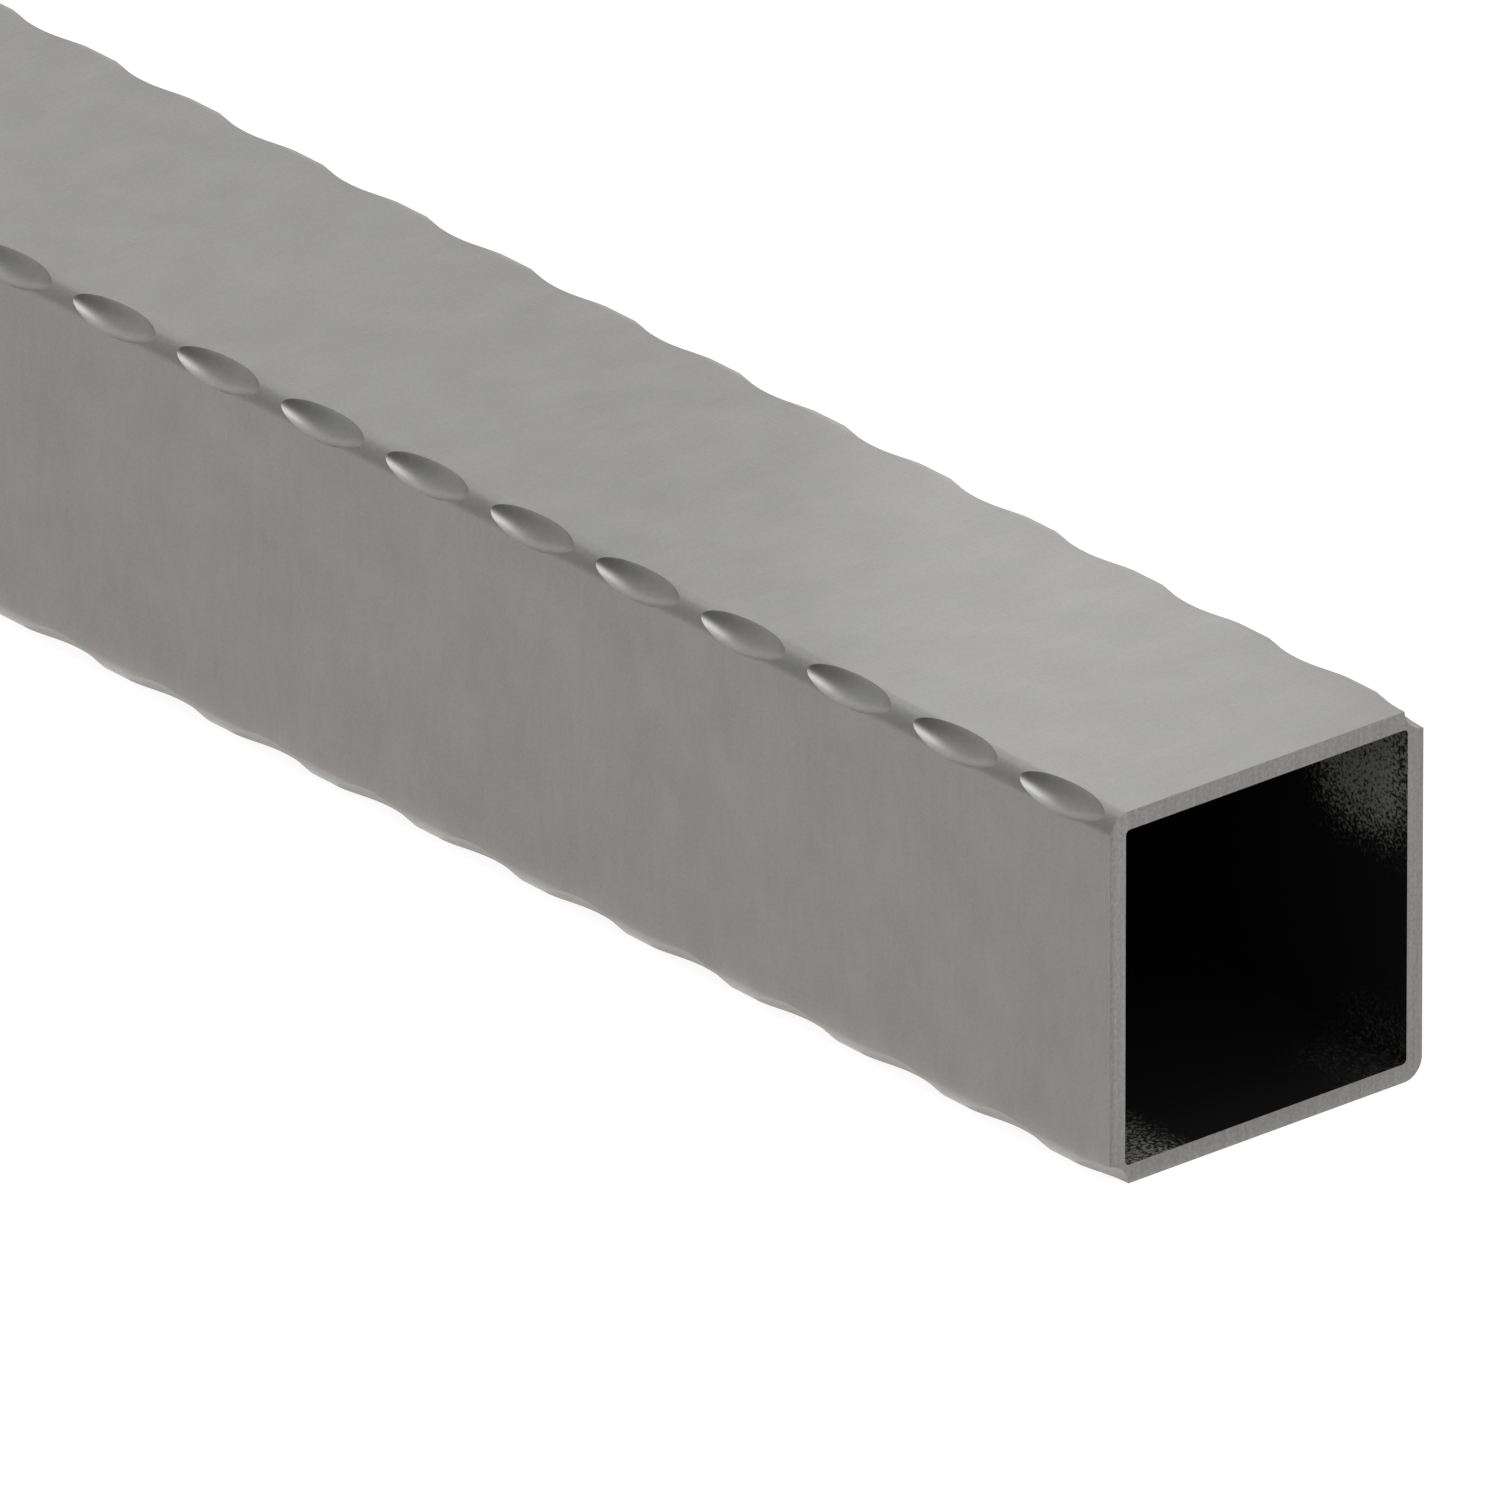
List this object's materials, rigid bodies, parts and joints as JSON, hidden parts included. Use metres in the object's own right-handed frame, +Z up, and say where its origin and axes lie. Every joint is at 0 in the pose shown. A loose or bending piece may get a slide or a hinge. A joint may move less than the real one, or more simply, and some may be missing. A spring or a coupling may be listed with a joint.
{
  "type": "square tube",
  "caption": "Straight square steel tube with rows of scooped hammer dents along its long corners and a smooth open square bore.",
  "frame": {"origin": "centre of the tube's length and width, on the plane of its lower flat", "axes": "+X along the tube towards the end that is open to the viewer in the picture, +Y across it towards the far side, +Z up"},
  "size_m": [0.5, 0.04, 0.04],
  "materials": {
    "steel": "bare mill steel with a fine brushed grain, dull grey"
  },
  "bodies": {
    "root": {"tube": "steel"}
  },
  "joints": []
}
